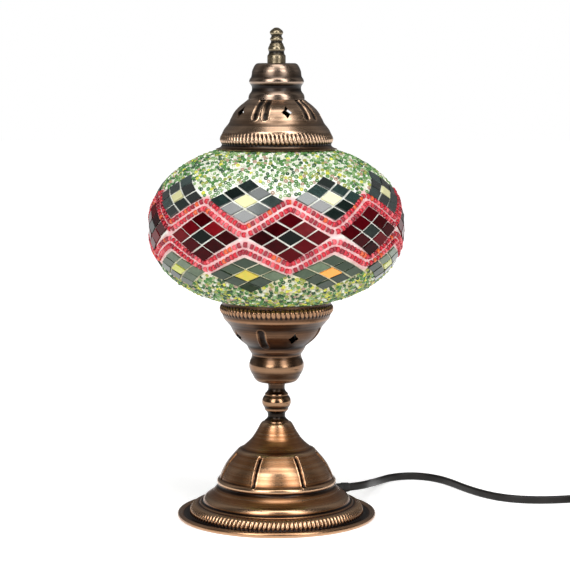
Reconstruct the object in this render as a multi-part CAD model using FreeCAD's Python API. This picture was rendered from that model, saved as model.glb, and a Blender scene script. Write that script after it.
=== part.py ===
import FreeCAD, Part
import math
import os

# Mosaic glass table lamp, millimetres, +Z up.
# Origin: centre of the base's resting face.

os.makedirs("parts", exist_ok=True)
V = FreeCAD.Vector
UP = V(0, 0, 1)
ORIGIN = V(0, 0, 0)

# ---- driving dimensions ------------------------------------------------------------
WALL = 1.0              # spun sheet metal
ROD_R = 5.0             # M10x1 lamp tube
ROD_BORE_R = 4.0
ROD_HOLE_R = 5.1        # holes that the tube passes through
STUD_R = 2.5            # M5 stud of the cap
STUD_HOLE_R = 2.6

# heights of the stack, from the table up
PLATE_Z = (1.5, 9.6)
BASE_TOP = 67.8
CUP_FLOOR = 96.0
GALLERY_FLOOR = 115.5
GALLERY_RIM = 153.8
BELL_RIM = 261.1
BELL_TOP = 295.2
CROWN_TOP = 320.4

# globe: a rounded form, the face of its mosaic; each half has its own height and fullness
GLOBE_Z = 207.0
GLOBE_R = 89.5
GLOBE_UP = (58.6, 2.2)
GLOBE_DOWN = (56.5, 2.3)
TILE_T = 1.6
BED_T = 1.1
GLASS_T = 2.6
MOUTH_UP_R = 38.0       # upper mouth of the glass
NECK_R = (33.0, 35.5)   # collar of the lower mouth
NECK_Z = 143.9

# mosaic
REPEATS = 9
PITCH = 360.0 / REPEATS
RED_ANGLE = 6.0         # from the front, positive to the right
GREEN_ANGLE = RED_ANGLE + PITCH / 2
GROUT = 0.8
DRIFT = (0.3, 2.8, 4.0, 2.0, 0.0, -1.0, 0.5, 3.0, 0.0)  # how high each red diamond was laid by hand

# socket and bulb (E14)
BLOCK_Z = (129.4, 138.4)
SLEEVE_R = 13.5
SLEEVE_TOP = 162.4
BULB_Z = 139.8
BULB_LEN = 78.0
BULB_R = 22.5
BULB_CAP_R = 6.6

# cord: flat two-core lead
CORD_D = 5.8
CORD_Z = CORD_D / 2
CORD_LENGTH = 1800.0
GROMMET_AZ = math.radians(26)
GROMMET_Z = 14.6
GROMMET_OUT = 58.0
COIL_CENTRE = V(257, 14, 0)
COIL_R = (21.0, 37.8)
COIL_H = 12.0
SWITCH_CENTRE = V(292, -46, 0)
SWITCH_SIZE = V(26, 58, 16)
SWITCH_SPLIT = 7.0
PLUG_Z = 7.0
PLUG_BACK = V(258, -112, PLUG_Z)
PIN_R = 2.0
PIN_LENGTH = 18.5
PIN_NECK_R = 1.6
PIN_GAP = 0.5           # neck that shows between the plug's face and the pin


# ---- helpers -----------------------------------------------------------------------
def save(name, *solids):
    shape = solids[0] if len(solids) == 1 else Part.makeCompound(list(solids))
    shape.exportStep("parts/%s.step" % name)
    print("%-22s %3d solid(s) %10.1f mm3 %s"
          % (name, len(shape.Solids), shape.Volume, "ok" if shape.isValid() else "INVALID"))
    return shape


def cylinder(r, z0, z1):
    return Part.makeCylinder(r, z1 - z0, V(0, 0, z0))


def tube(r_in, r_out, z0, z1):
    return cylinder(r_out, z0, z1).cut(cylinder(r_in, z0, z1))


def box(x0, x1, y0, y1, z0, z1):
    return Part.makeBox(x1 - x0, y1 - y0, z1 - z0, V(x0, y0, z0))


def turned(outline):
    """Solid turned from a closed (radius, height) outline."""
    points = [V(r, 0, z) for r, z in outline]
    face = Part.Face(Part.makePolygon(points + points[:1]))
    solid = face.revolve(ORIGIN, UP, 360)
    if solid.Volume < 0:
        solid.reverse()
    return solid


def inset(line, depth):
    """The line moved inward by depth, mitred; the line runs down the outside of a shell."""
    normals = []
    for (r0, z0), (r1, z1) in zip(line[:-1], line[1:]):
        length = math.hypot(r1 - r0, z1 - z0)
        normals.append(((z0 - z1) / length, (r1 - r0) / length))
    moved = []
    for i, (r, z) in enumerate(line):
        a = normals[max(i - 1, 0)]
        b = normals[min(i, len(normals) - 1)]
        scale = depth / (1 + a[0] * b[0] + a[1] * b[1])
        moved.append((r - (a[0] + b[0]) * scale, z - (a[1] + b[1]) * scale))
    return moved


def spun(line, wall=WALL):
    """Sheet shell spun to the outside line."""
    return turned(line + inset(line, wall)[::-1])


def arc(centre_r, centre_z, radius, start, end, steps):
    """Points of an arc in the (radius, height) plane, angles in degrees from +r."""
    points = []
    for i in range(steps + 1):
        a = math.radians(start + (end - start) * i / steps)
        points.append((centre_r + radius * math.cos(a), centre_z + radius * math.sin(a)))
    return points


def around(solid, count, first=0.0):
    """Copies of a solid turned about the axis; the solid is drawn on +X."""
    copies = []
    for i in range(count):
        copy = solid.copy()
        copy.rotate(ORIGIN, UP, first + 360.0 * i / count)
        copies.append(copy)
    return copies


def azimuth(front_angle):
    """Turn that takes +X to the angle from the front, positive to the right."""
    return front_angle - 90.0


def hex_nut(flats, hole_r, z0, z1):
    corner = flats / math.sqrt(3)
    ring = [V(corner * math.cos(math.radians(60 * i)), corner * math.sin(math.radians(60 * i)), z0)
            for i in range(7)]
    nut = Part.Face(Part.makePolygon(ring)).extrude(V(0, 0, z1 - z0))
    return nut.cut(cylinder(hole_r, z0, z1))


def diamond_cut(radius_from, radius_to, z, half_w, half_h, count, first):
    """Four-point piercings with hollow sides, cut from outside to inside."""
    waist = 0.42
    corners = [(half_w, 0), (waist * half_w, waist * half_h), (0, half_h), (-waist * half_w, waist * half_h),
               (-half_w, 0), (-waist * half_w, -waist * half_h), (0, -half_h), (waist * half_w, -waist * half_h)]
    ring = [V(radius_from, y, z + dz) for y, dz in corners + corners[:1]]
    return around(Part.Face(Part.makePolygon(ring)).extrude(V(radius_to - radius_from, 0, 0)), count, first)


def lead(points, radius):
    """Round lead along straight runs joined by tangent arcs."""
    edges = []
    start = points[0]
    for i in range(1, len(points) - 1):
        a, corner, b = points[i - 1], points[i], points[i + 1]
        into, away = corner - a, b - corner
        run = min(into.Length, away.Length)
        into.normalize()
        away.normalize()
        half_turn = into.getAngle(away) / 2
        reach = 0.45 * run
        bend = reach / math.tan(half_turn)
        first, last = corner - into * reach, corner + away * reach
        inward = away - into
        inward.normalize()
        middle = corner + inward * (bend / math.cos(half_turn) - bend)
        edges.append(Part.LineSegment(start, first).toShape())
        edges.append(Part.Arc(first, middle, last).toShape())
        print("  bend radius %.1f mm" % bend)
        start = last
    edges.append(Part.LineSegment(start, points[-1]).toShape())
    path = Part.Wire(edges)
    along = points[1] - points[0]
    section = Part.Wire([Part.Circle(points[0], along, radius).toShape()])
    solid = path.makePipeShell([section], True, False)
    print("  length %.1f mm, volume / (section x length) %.4f"
          % (path.Length, solid.Volume / (math.pi * radius ** 2 * path.Length)))
    return solid, path.Length


# ---- base --------------------------------------------------------------------------
BASE_LINE = ([(ROD_HOLE_R, BASE_TOP), (10.0, BASE_TOP), (11.0, 66.8), (12.2, 64.8), (13.7, 61.9), (15.4, 59.1),
              (17.3, 56.2), (20.0, 53.2), (22.5, 51.0), (25.2, 48.8), (27.2, 48.2), (29.0, 46.2),
              (31.0, 43.9), (34.0, 40.4), (36.5, 36.9), (38.5, 33.0), (40.0, 29.6), (40.5, 27.8)]
             + arc(40.2, 25.3, 2.3, 60, -60, 4)
             + [(41.6, 22.4), (43.4, 20.6), (45.6, 18.2), (48.2, 16.2), (50.8, 14.6), (52.0, 12.8),
                (52.4, 10.6), (54.4, 10.6), (54.8, 9.6)]
             + arc(56.0, 4.2, 5.4, 84, -8, 5)
             + [(62.2, 2.1), (66.2, 2.1), (67.4, 3.3)]
             + arc(68.6, 1.8, 2.0, 100, -62, 5))


def base():
    shell = spun(BASE_LINE)
    lead_hole = Part.makeCylinder(3.6, 16, V(42, 0, GROMMET_Z), V(1, 0, 0))
    lead_hole.rotate(ORIGIN, UP, math.degrees(GROMMET_AZ))
    save("base_shell", shell.cut(lead_hole))
    plate_r = 53.4
    save("weight_plate", tube(6.0, plate_r, *PLATE_Z))
    save("felt_pad", cylinder(plate_r, 0, PLATE_Z[0]))
    washer_z = BASE_TOP - WALL
    save("base_washer", tube(ROD_HOLE_R, 9.6, washer_z - 1.2, washer_z))
    save("base_nut", hex_nut(17.0, ROD_HOLE_R, washer_z - 6.4, washer_z - 1.2))
    bush = Part.makeCylinder(3.5, 10, V(43, 0, GROMMET_Z), V(1, 0, 0))
    taper = Part.makeCone(3.8, 3.3, GROMMET_OUT - 52.8, V(52.8, 0, GROMMET_Z), V(1, 0, 0))
    bore = Part.makeCylinder(CORD_D / 2 + 0.05, 30, V(40, 0, GROMMET_Z), V(1, 0, 0))
    grommet = bush.fuse(taper).cut(bore)
    grommet.rotate(ORIGIN, UP, math.degrees(GROMMET_AZ))
    save("cord_grommet", grommet)


# ---- stem and lower holder -----------------------------------------------------------
STEM_LINE = ([(9.0, BASE_TOP), (8.6, 68.6), (7.2, 69.7), (6.4, 70.7), (6.2, 71.6), (6.2, 73.8), (6.9, 75.0),
              (8.1, 75.9), (8.5, 76.8), (8.5, 77.9)]
             + arc(4.9, 82.2, 5.5, -47, 47, 6)
             + [(8.3, 86.8), (8.4, 87.8), (7.3, 88.8), (6.4, 89.8), (5.9, 91.2), (5.9, 93.6), (6.6, CUP_FLOOR)])

CUP_LINE = [(17.5, GALLERY_FLOOR), (17.7, 114.2), (18.2, 112.8), (18.8, 111.4), (19.4, 109.8), (19.5, 108.4),
            (19.5, 107.3), (19.2, 105.9), (18.6, 104.4), (17.8, 102.9), (17.1, 101.7), (16.4, 100.4),
            (15.9, 99.2), (15.1, 98.0), (14.1, 97.1), (12.6, 96.4), (9.6, CUP_FLOOR), (ROD_HOLE_R, CUP_FLOOR)]

GALLERY_LINE = ([(38.5, GALLERY_RIM), (38.5, 152.6)]
                + arc(36.3, 148.7, 3.65, 48, -48, 6)
                + [(38.0, 144.2), (37.6, 142.4), (37.2, 141.5), (36.0, 140.4), (34.7, 138.9), (33.4, 137.5),
                   (32.4, 136.2), (31.8, 134.9), (31.1, 133.3), (30.0, 131.3), (28.6, 129.4), (27.2, 127.9),
                   (25.6, 126.4), (23.9, 125.0), (22.3, 123.8), (21.1, 122.8), (20.5, 121.6), (20.0, 120.3),
                   (19.1, 118.7), (18.0, 117.4), (17.5, 116.5), (17.5, GALLERY_FLOOR),
                   (ROD_HOLE_R, GALLERY_FLOOR)])


def stem_and_holder():
    save("lamp_tube", tube(ROD_BORE_R, ROD_R, 44.0, 127.0))
    save("stem", turned([(ROD_HOLE_R, BASE_TOP)] + STEM_LINE + [(ROD_HOLE_R, CUP_FLOOR)]))
    save("socket_cup", spun(CUP_LINE))
    bowl = spun(GALLERY_LINE)
    for hole in diamond_cut(20, 40, 130.2, 4.2, 4.4, 4, azimuth(24)):
        bowl = bowl.cut(hole)
    save("gallery_bowl", bowl)
    spring = [(37.9, 151.6), (36.9, 151.6), (35.8, 149.0), (36.5, 146.9), (37.4, 146.6), (36.4, 149.0)]
    leaf = Part.Face(Part.makePolygon([V(r, -4, z) for r, z in spring + spring[:1]])).extrude(V(0, 8, 0))
    save("gallery_springs", *around(leaf, 3, azimuth(60)))
    floor_top = GALLERY_FLOOR + WALL
    save("gallery_locknut", hex_nut(14.0, ROD_HOLE_R, floor_top, floor_top + 3.0))


# ---- E14 socket --------------------------------------------------------------------
def socket():
    bottom = GALLERY_FLOOR + WALL + 3.0
    ledge = BLOCK_Z[0]
    joint = ledge + 4.0
    save("socket_base", turned([(ROD_HOLE_R, bottom), (11.6, bottom), (SLEEVE_R, bottom + 2.4), (SLEEVE_R, joint),
                                (12.2, joint), (12.2, ledge), (10.5, ledge), (10.5, bottom + 3.0),
                                (ROD_HOLE_R, bottom + 3.0)]))
    block = cylinder(12.0, *BLOCK_Z)
    screws = []
    for side in (-1, 1):
        block = block.cut(Part.makeCylinder(1.5, 5, V(side * 7.5, 0, ledge)))
        shank = Part.makeCylinder(1.45, 4.5, V(side * 7.5, 0, ledge))
        screws.append(shank.fuse(Part.makeCylinder(2.6, 2, V(side * 7.5, 0, ledge - 2))))
    save("socket_insulator", block)
    save("terminal_screws", *screws)
    save("socket_screw_shell", tube(7.0, 7.5, BLOCK_Z[1], 159.4))
    save("socket_centre_contact", box(-2.0, 2.0, -5.5, 2.5, BLOCK_Z[1], BLOCK_Z[1] + 1.1))
    save("socket_sleeve", turned([(SLEEVE_R - 1.2, joint), (SLEEVE_R, joint), (SLEEVE_R, SLEEVE_TOP - 1.5),
                                  (SLEEVE_R - 1.5, SLEEVE_TOP), (8.6, SLEEVE_TOP), (8.6, SLEEVE_TOP - 1.5),
                                  (SLEEVE_R - 1.2, SLEEVE_TOP - 3.0)]))


# ---- E14 bulb ----------------------------------------------------------------------
def bulb():
    top = BULB_Z + BULB_LEN
    cap_z = BULB_Z + 3.7
    save("bulb_contact", cylinder(2.2, BULB_Z, BULB_Z + 1.2))
    save("bulb_base_insulator", turned([(0, BULB_Z + 1.2), (3.2, BULB_Z + 1.2), (5.8, cap_z), (0, cap_z)]))
    save("bulb_screw_cap", tube(BULB_CAP_R - 0.5, BULB_CAP_R, cap_z, cap_z + 17.5))
    centre = top - BULB_R
    outside = ([(0.4, top)] + arc(0, centre, BULB_R, 84, -48, 11)
               + [(9.4, centre - 25.0), (7.6, centre - 30.5), (6.0, centre - 33.0), (6.0, cap_z + 12.0)])
    save("bulb_glass", spun(outside, 0.7))
    save("bulb_stem", turned([(0, cap_z + 12), (5.0, cap_z + 12), (4.6, cap_z + 16), (2.2, cap_z + 24),
                              (1.6, cap_z + 40), (0, cap_z + 40)]))
    loop_r = 7.0
    wire = Part.makeTorus(loop_r, 0.4, V(0, 0, cap_z + 43), UP, -180, 180, 300)
    post = Part.makeCylinder(0.4, 8.0, V(loop_r, 0, cap_z + 35))
    save("bulb_filament", wire, post)


# ---- globe -------------------------------------------------------------------------
def globe_radius(z, depth):
    """Radius of the globe at a height, depth under the mosaic's face."""
    height, power = GLOBE_UP if z > GLOBE_Z else GLOBE_DOWN
    part = min(abs(z - GLOBE_Z) / (height - depth), 1.0)
    return (GLOBE_R - depth) * (1 - part ** power) ** (1 / power)


def globe_height(r, depth, upper):
    """Height of the upper or the lower half at a radius."""
    height, power = GLOBE_UP if upper else GLOBE_DOWN
    part = (1 - (r / (GLOBE_R - depth)) ** power) ** (1 / power)
    return GLOBE_Z + (height - depth) * part * (1 if upper else -1)


def globe_line(depth, r_up, r_down, steps=22):
    """Outside line from the upper mouth to the lower one."""
    z_up, z_down = globe_height(r_up, depth, True), globe_height(r_down, depth, False)
    line = []
    for i in range(steps + 1):
        z = (z_up + z_down) / 2 + (z_up - z_down) / 2 * math.cos(math.pi * i / steps)
        line.append((globe_radius(z, depth), z))
    return line


def globe_skin(outer_depth, inner_depth, z_up, z_down, steps):
    """Skin of the globe between two heights."""
    heights = [z_up + (z_down - z_up) * i / steps for i in range(steps + 1)]
    outer = [(globe_radius(z, outer_depth), z) for z in heights]
    inner = [(globe_radius(z, inner_depth), z) for z in heights]
    return turned(outer + inner[::-1])


def on_globe(angle, z, depth):
    """Point of the globe at an angle from the front and a height."""
    r = globe_radius(z, depth)
    a = math.radians(azimuth(angle))
    return V(r * math.cos(a), r * math.sin(a), z)


def slab(corners, crown, thickness):
    """Flat tile over four corners and the crown, the point of the globe between them."""
    centre = (corners[0] + corners[1] + corners[2] + corners[3]) * 0.25
    normal = (corners[2] - corners[0]).cross(corners[3] - corners[1])
    normal.normalize()
    if normal.dot(centre - V(0, 0, GLOBE_Z)) < 0:
        normal = normal * -1.0
    flat = [c - normal * (c - centre).dot(normal) for c in corners]
    lift = max((c - centre).dot(normal) for c in corners + [crown]) + 0.15
    ring = [c + normal * lift for c in flat]
    return Part.Face(Part.makePolygon(ring + ring[:1])).extrude(normal * thickness)


def diamond_tiles(angle, z, half_angle, half_height):
    """A diamond of 3 x 3 tiles; gives the eight outer tiles and the centre one."""
    depth = TILE_T + 0.1
    r = globe_radius(z, depth)
    slope = math.hypot(math.radians(half_angle) * r, half_height)
    gap = GROUT / slope / 2
    outer, centre = [], None
    for i in range(3):
        for j in range(3):
            quad = []
            for u, v in ((i / 3 + gap, j / 3 + gap), ((i + 1) / 3 - gap, j / 3 + gap),
                         ((i + 1) / 3 - gap, (j + 1) / 3 - gap), (i / 3 + gap, (j + 1) / 3 - gap)):
                quad.append(on_globe(angle + half_angle * (u - v), z + half_height * (u + v - 1), depth))
            crown = on_globe(angle + half_angle * (i - j) / 3, z + half_height * ((i + j + 1) / 3 - 1), depth)
            tile = slab(quad, crown, TILE_T)
            if i == 1 and j == 1:
                centre = tile
            else:
                outer.append(tile)
    return outer, centre


def drift(angle):
    """How high the pattern was laid at an angle."""
    turn = ((angle - RED_ANGLE) / PITCH) % REPEATS
    k = int(turn)
    return DRIFT[k] + (DRIFT[(k + 1) % REPEATS] - DRIFT[k]) * (turn - k)


def wave(angle, at_red, at_green):
    """Height of a bead band, which turns at the red and at the green diamonds."""
    turn = ((angle - RED_ANGLE) / PITCH) % 1.0
    share = abs(turn * 2 - 1)
    return at_green + (at_red - at_green) * share + drift(angle)


def bead_band(at_red, at_green, breadth):
    """Flat pieces end to end along the zigzag of a band."""
    pieces = []
    per_leg = 3
    step = PITCH / 2 / per_leg
    for i in range(REPEATS * 2 * per_leg):
        a, b = RED_ANGLE + step * (i + 0.06), RED_ANGLE + step * (i + 0.94)
        za, zb = wave(a, at_red, at_green), wave(b, at_red, at_green)
        half = breadth / 2
        quad = [on_globe(a, za - half, TILE_T), on_globe(b, zb - half, TILE_T),
                on_globe(b, zb + half, TILE_T), on_globe(a, za + half, TILE_T)]
        pieces.append(slab(quad, on_globe((a + b) / 2, (za + zb) / 2, TILE_T), TILE_T - 0.1))
    return pieces


def globe():
    glass_depth = TILE_T + BED_T + 0.1
    outside = globe_line(glass_depth, MOUTH_UP_R, NECK_R[1])
    neck_top = outside[-1][1]
    inner = globe_line(glass_depth + GLASS_T, MOUTH_UP_R - 2.4, NECK_R[0])
    line = outside + [(NECK_R[1], NECK_Z), (NECK_R[0], NECK_Z)] + inner[::-1]
    save("globe_glass", turned(line))
    bed_outer = globe_line(TILE_T, MOUTH_UP_R + 0.6, NECK_R[1] + 2.8)
    bed_inner = globe_line(TILE_T + BED_T, MOUTH_UP_R + 0.6, NECK_R[1] + 2.8)
    save("grout_bed", turned(bed_outer + bed_inner[::-1]))
    groups = (("tiles_red", "centre_tiles_dark", RED_ANGLE, 205.4, 18.3, 16.6),
              ("tiles_green_upper", "centre_tiles_cream", GREEN_ANGLE, 228.6, 18.0, 14.3),
              ("tiles_green_lower", "centre_tiles_amber", GREEN_ANGLE, 180.6, 19.2, 12.4))
    for ring_name, centre_name, angle, z, half_angle, half_height in groups:
        ring, centres = [], []
        for k in range(REPEATS):
            place = angle + k * PITCH
            outer, centre = diamond_tiles(place, z + drift(place), half_angle, half_height)
            ring += outer
            centres.append(centre)
        save(ring_name, *ring)
        save(centre_name, *centres)
    save("bead_band_upper", *bead_band(226.3, 209.6, 6.4))
    save("bead_band_lower", *bead_band(185.4, 198.5, 6.4))
    save("bead_field_top", globe_skin(0.2, TILE_T - 0.2, globe_height(43.5, 0, True) - 0.4, 248.5, 10))
    save("bead_field_bottom", globe_skin(0.2, TILE_T - 0.2, 165.0, globe_height(40.5, 0, False) + 0.6, 6))
    return neck_top


# ---- cap ---------------------------------------------------------------------------
BELL_LINE = ([(STUD_HOLE_R, BELL_TOP), (19.9, BELL_TOP), (21.0, 294.2), (22.9, 292.7), (24.8, 291.3),
              (26.4, 289.8), (27.9, 288.3), (29.1, 286.8), (30.1, 285.3), (30.9, 283.8), (31.6, 282.3),
              (32.4, 280.8), (33.0, 279.4), (33.8, 278.1), (35.0, 276.8), (36.2, 275.2), (37.4, 273.4)]
             + arc(34.6, 267.6, 4.7, 42, -40, 5)
             + [(38.3, 263.6), (38.8, 262.6), (40.3, 261.7), (42.4, BELL_RIM)])

CROWN_LINE = [(STUD_HOLE_R, CROWN_TOP), (13.4, CROWN_TOP), (14.8, 319.5), (15.8, 317.9), (16.5, 316.3),
              (17.1, 314.8), (17.3, 312.8), (17.5, 311.2), (18.2, 310.1), (18.8, 309.2), (19.1, 308.1),
              (19.1, 307.3), (18.7, 306.4), (18.1, 305.6), (17.4, 304.7), (17.1, 303.6), (17.1, 302.3),
              (17.4, 301.1), (18.1, 300.0), (19.0, 298.9), (19.4, 297.8), (19.6, 296.4), (19.6, BELL_TOP)]

FINIAL_LINE = ([(6.4, CROWN_TOP), (6.4, 325.6), (5.7, 326.4), (5.4, 327.2)]
               + arc(2.9, 330.2, 3.0, -38, 42, 4)
               + [(4.6, 333.8), (3.9, 334.7), (3.9, 335.6)]
               + arc(3.5, 337.0, 1.1, -50, 50, 3)
               + [(3.6, 338.7), (3.6, 339.5)]
               + arc(2.7, 341.5, 2.0, -48, 60, 5)
               + [(2.6, 344.1), (1.4, 344.9), (0, 345.0)])


def cap():
    bell = spun(BELL_LINE)
    for hole in diamond_cut(24, 45, 286.6, 3.9, 4.4, 5, azimuth(14)):
        bell = bell.cut(hole)
    save("cap_bell", bell)
    save("crown_cup", spun(CROWN_LINE))
    finial = turned([(0, CROWN_TOP)] + FINIAL_LINE)
    save("finial", finial.cut(cylinder(STUD_HOLE_R, CROWN_TOP, 329.0)))
    save("cap_stud", cylinder(STUD_R, 286.0, 328.0))
    under = BELL_TOP - WALL
    save("cap_nut", hex_nut(8.0, STUD_HOLE_R, under - 4.0, under))
    leg = [(38.5, 268.4), (38.5, 267.6), (33.6, 267.6), (33.4, 256.0), (32.4, 251.5), (31.6, 251.5),
           (32.7, 256.0), (32.7, 268.4)]
    strip = Part.Face(Part.makePolygon([V(r, -4, z) for r, z in leg + leg[:1]])).extrude(V(0, 8, 0))
    save("cap_spring_legs", *around(strip, 3, azimuth(50)))


# ---- cord, switch and plug ---------------------------------------------------------
def at_grommet(radius):
    return V(radius * math.cos(GROMMET_AZ), radius * math.sin(GROMMET_AZ), GROMMET_Z)


CORD_ROUTE = [at_grommet(GROMMET_OUT), at_grommet(64.5), V(62.8, 32.8, 14.4), V(66.1, 38.6, 13.8),
              V(68.9, 50, 12), V(71.5, 64, 9.4), V(74.4, 81, 6.2), V(79.4, 100, 3.4),
              V(88.5, 113.5, CORD_Z), V(102.5, 119.5, CORD_Z), V(116, 116, CORD_Z), V(126.5, 106, CORD_Z),
              V(134, 93, CORD_Z), V(141.5, 76, CORD_Z),
              V(151.5, 58, CORD_Z), V(164, 43.5, CORD_Z), V(180, 35.5, CORD_Z), V(200, 34.5, CORD_Z),
              V(221.5, 39.5, CORD_Z), V(243, 46.5, CORD_Z)]
TAIL_ROUTE = [V(290.5, 14, 8.6), V(292, 2, 7.8), SWITCH_CENTRE + V(0, SWITCH_SIZE.y / 2 + 5, 7.0)]
PLUG_ROUTE = [SWITCH_CENTRE + V(0, -SWITCH_SIZE.y / 2 - 5, 7.0), V(291.5, -91, 6.4), V(285, -104, 6.4),
              V(273, -112, PLUG_Z), PLUG_BACK + V(2, 0, 0)]


def cord():
    inside = [at_grommet(GROMMET_OUT), at_grommet(14), V(0, 0, 38), V(0, 0, 126)]
    print("inner lead")
    core, _ = lead(inside, CORD_D / 2)
    save("inner_lead", core)
    print("cord to the coil")
    tube_solid, length = lead(CORD_ROUTE, CORD_D / 2)
    save("cord_tube", tube_solid)
    ring = tube(COIL_R[0], COIL_R[1], 0, COIL_H)
    rim_edges = [e for e in ring.Edges if isinstance(e.Curve, Part.Circle)]
    ring = ring.makeFillet(2.5, rim_edges)
    ring.translate(COIL_CENTRE)
    save("cord_coil", ring)
    print("cord to the switch")
    tail, tail_length = lead(TAIL_ROUTE, CORD_D / 2)
    save("cord_tail", tail)
    print("cord to the plug")
    end, end_length = lead(PLUG_ROUTE, CORD_D / 2)
    save("cord_end", end)
    laid = length + tail_length + end_length + SWITCH_SIZE.y + 10
    print("coiled length %.0f mm" % (CORD_LENGTH - laid))


def switch():
    c, s = SWITCH_CENTRE, SWITCH_SIZE
    x0, x1 = c.x - s.x / 2, c.x + s.x / 2
    y0, y1 = c.y - s.y / 2, c.y + s.y / 2
    wall = 2.0
    outer = box(x0, x1, y0, y1, 0, s.z)
    upright = [e for e in outer.Edges if abs(e.Vertexes[0].Z - e.Vertexes[-1].Z) > 1]
    outer = outer.makeFillet(10.0, upright)
    relief_r = CORD_D / 2 + 1.2
    relief = Part.makeCylinder(relief_r, s.y + 10, V(c.x, y0 - 5, 7.0), V(0, 1, 0))
    outer = outer.fuse(relief)
    bore = Part.makeCylinder(CORD_D / 2, s.y + 10, V(c.x, y0 - 5, 7.0), V(0, 1, 0))
    inner = box(x0 + wall, x1 - wall, y0 + 5, y1 - 5, wall, s.z - wall)
    window = box(c.x - 5.6, c.x + 5.6, c.y - 10.2, c.y + 10.2, s.z - wall - 1, s.z + 1)
    case = outer.cut(bore).cut(inner)
    low = case.common(box(x0 - 1, x1 + 1, y0 - 6, y1 + 6, -1, SWITCH_SPLIT))
    high = case.common(box(x0 - 1, x1 + 1, y0 - 6, y1 + 6, SWITCH_SPLIT, s.z + 1)).cut(window)
    screws = []
    for side in (-1, 1):
        place = V(c.x, c.y + side * 20.5, 0.4)
        low = low.cut(Part.makeCylinder(2.2, 1.6, V(place.x, place.y, 0))).cut(Part.makeCylinder(1.1, 4, place))
        screws.append(Part.makeCylinder(2.0, 1.2, place).fuse(Part.makeCylinder(1.0, 3.5, place)))
    save("switch_case_bottom", low)
    save("switch_case_top", high)
    save("switch_screws", *screws)
    pivot_z = s.z - 3.2
    tilt = 8.0
    body = box(c.x - 5.2, c.x + 5.2, c.y - 9.0, c.y + 9.0, pivot_z + 0.6, s.z + 1.2)
    keel = box(c.x - 4.0, c.x + 4.0, c.y - 3.0, c.y + 3.0, pivot_z - 3.0, pivot_z + 0.6)
    dish = Part.makeCylinder(60, 12, V(c.x - 6, c.y, s.z + 60.1), V(1, 0, 0))
    trunnions = Part.makeCylinder(1.0, 15, V(c.x - 7.5, c.y, pivot_z), V(1, 0, 0))
    rocker = body.cut(dish).fuse(keel).fuse(trunnions)
    rocker.rotate(V(c.x, c.y, pivot_z), V(1, 0, 0), tilt)
    save("switch_rocker", rocker)
    contacts = [box(c.x + side * 6 - 1.5, c.x + side * 6 + 1.5, c.y - 14, c.y + 14, wall, wall + 0.8)
                for side in (-1, 1)]
    save("switch_contacts", *contacts)


def plug():
    p = PLUG_BACK
    front = p.x - 36
    half = 17.0
    outline = [V(p.x, p.y - 7, 0), V(p.x, p.y + 7, 0), V(p.x - 10, p.y + 10, 0), V(front + 14, p.y + half, 0),
               V(front, p.y + half, 0), V(front, p.y - half, 0), V(front + 14, p.y - half, 0),
               V(p.x - 10, p.y - 10, 0)]
    body = Part.Face(Part.makePolygon(outline + outline[:1])).extrude(V(0, 0, PLUG_Z * 2))
    body = body.makeFillet(1.6, body.Edges)
    relief = Part.makeCone(CORD_D / 2 + 2.2, CORD_D / 2 + 0.8, 10, V(p.x - 2, p.y, PLUG_Z), V(1, 0, 0))
    body = body.fuse(relief).cut(Part.makeCylinder(CORD_D / 2 + 0.05, 12, V(p.x + 2, p.y, PLUG_Z), V(1, 0, 0)))
    pins = []
    for side in (-1, 1):
        root = V(front + 8, p.y + side * 9.5, PLUG_Z)
        body = body.cut(Part.makeCylinder(PIN_NECK_R, 10, root, V(-1, 0, 0)))
        neck = Part.makeCylinder(PIN_NECK_R, 12, root, V(-1, 0, 0))
        shaft = Part.makeCylinder(PIN_R, PIN_LENGTH, V(front - PIN_GAP, root.y, PLUG_Z), V(-1, 0, 0))
        pins.append(neck.fuse(shaft))
    save("plug_body", body)
    save("plug_pins", *pins)


base()
stem_and_holder()
socket()
bulb()
globe()
cap()
cord()
switch()
plug()
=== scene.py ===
import math
import random

import bmesh
import bpy
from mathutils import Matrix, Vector, noise


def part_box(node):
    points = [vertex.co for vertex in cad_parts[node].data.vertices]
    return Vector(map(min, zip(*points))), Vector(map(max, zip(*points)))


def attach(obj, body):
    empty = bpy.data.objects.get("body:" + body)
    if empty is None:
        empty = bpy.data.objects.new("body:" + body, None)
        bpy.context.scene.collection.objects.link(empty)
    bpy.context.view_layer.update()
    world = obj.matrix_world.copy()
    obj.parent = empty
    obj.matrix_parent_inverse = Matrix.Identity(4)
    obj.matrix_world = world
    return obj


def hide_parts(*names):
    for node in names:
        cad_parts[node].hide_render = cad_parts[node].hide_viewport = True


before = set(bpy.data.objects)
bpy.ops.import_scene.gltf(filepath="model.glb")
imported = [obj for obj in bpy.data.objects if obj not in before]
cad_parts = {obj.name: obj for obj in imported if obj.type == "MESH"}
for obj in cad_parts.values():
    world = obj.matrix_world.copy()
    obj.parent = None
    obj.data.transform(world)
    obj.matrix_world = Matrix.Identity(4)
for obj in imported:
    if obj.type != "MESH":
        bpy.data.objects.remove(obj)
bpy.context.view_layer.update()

# Mosaic glass table lamp. Lengths are in millimetres unless a name says otherwise; objects are in metres.
MM = 0.001
UP = Vector((0, 0, 1))
random.seed(7)


def node_span(node, axis):
    """Lowest and highest coordinate of a CAD node along an axis, in mm."""
    low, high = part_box(node)
    return low[axis] / MM, high[axis] / MM


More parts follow.
